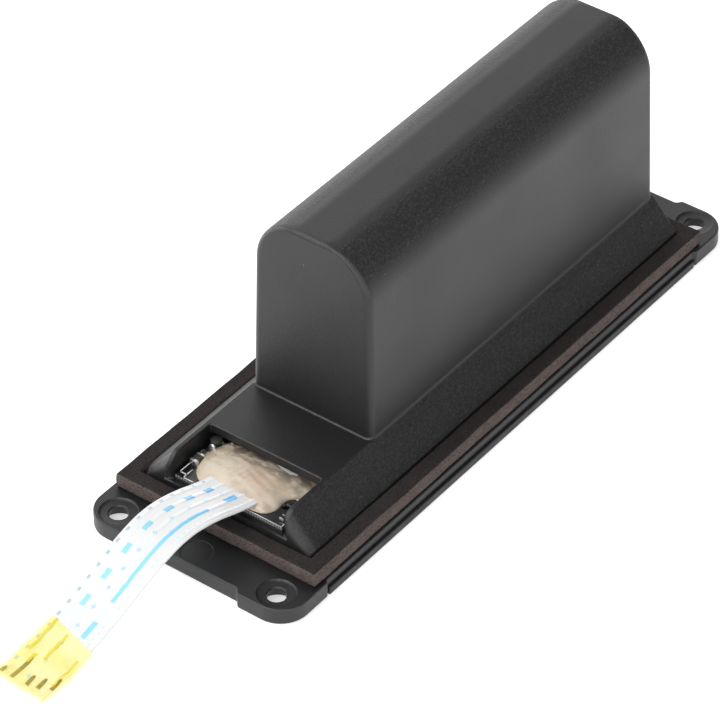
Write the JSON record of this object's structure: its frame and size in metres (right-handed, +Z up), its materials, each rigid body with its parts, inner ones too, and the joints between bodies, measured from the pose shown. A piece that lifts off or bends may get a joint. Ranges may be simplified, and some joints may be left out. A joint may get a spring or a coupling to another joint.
{
  "type": "rechargeable battery pack",
  "caption": "Built-in rechargeable battery pack: stacked round cells in a tall rounded housing on a gasketed flange with screw ears, protection board and ribbon cable.",
  "frame": {"origin": "middle of the underside of the flange, on the surface that the pack stands on", "axes": "+X along the pack, away from the ribbon cable; +Y across it; +Z up through the hump"},
  "size_m": [0.1491, 0.0392, 0.0436],
  "materials": {
    "housing_plastic": "fine spark-eroded texture, satin black",
    "cover_plastic": "satin black",
    "gasket_foam": "closed-cell foam, cut faces brown-grey, skin side black",
    "label_film": "blank satin film",
    "cell_steel": "nickel-plated steel",
    "cell_sleeve_film": "shrunk film",
    "cap_steel": "nickel-plated",
    "insulating_paper": "pressed paper",
    "nickel": "rolled nickel",
    "clear_film": "thin film tape",
    "pad_foam": "open foam",
    "board_laminate": "black solder mask with white print",
    "chip_resin": "moulded resin",
    "chip_ceramic": "fired ceramic with tinned ends",
    "solder": "tinned",
    "red_insulation": "extruded",
    "black_insulation": "extruded",
    "white_insulation": "extruded",
    "thermistor_resin": "dipped resin",
    "adhesive": "cured beige adhesive, glossy",
    "ribbon_film": "white laminated film with pale blue dashes",
    "polyimide_tape": "translucent yellow film",
    "contact_copper": "bare copper, dulled"
  },
  "bodies": {
    "root": {"top_housing": "housing_plastic", "bottom_cover": "cover_plastic", "foam_gasket": "gasket_foam", "rating_label": "label_film", "upper_cell_can": "cell_steel", "lower_cell_can": "cell_steel", "upper_cell_sleeve": "cell_sleeve_film", "lower_cell_sleeve": "cell_sleeve_film", "upper_cell_cap": "cap_steel", "lower_cell_cap": "cap_steel", "upper_cell_cap_ring": "insulating_paper", "lower_cell_cap_ring": "insulating_paper", "series_strip": "nickel", "positive_strip": "nickel", "negative_strip": "nickel", "end_paper_far": "insulating_paper", "end_paper_near": "insulating_paper", "cell_band": "clear_film", "near_cell_pad": "pad_foam", "far_cell_pad": "pad_foam", "protection_board": "board_laminate", "charge_transistor": "chip_resin", "discharge_transistor": "chip_resin", "protection_chip": "chip_resin", "fuel_gauge_chip": "chip_resin", "sense_resistor": "chip_resin", "chip_fuse": "chip_ceramic", "tall_capacitor": "chip_resin", "small_capacitor_1": "chip_ceramic", "small_capacitor_2": "chip_ceramic", "chip_resistor_1": "chip_resin", "chip_resistor_2": "chip_resin", "output_tab": "solder", "positive_wire": "red_insulation", "negative_wire": "black_insulation", "middle_wire": "white_insulation", "thermistor": "thermistor_resin", "thermistor_wire": "white_insulation", "adhesive_blob": "adhesive", "ribbon_cable": "ribbon_film", "ribbon_tape": "polyimide_tape", "ribbon_contact_1": "contact_copper", "ribbon_contact_2": "contact_copper", "ribbon_contact_3": "contact_copper", "ribbon_contact_4": "contact_copper", "ribbon_contact_5": "contact_copper"}
  },
  "joints": []
}
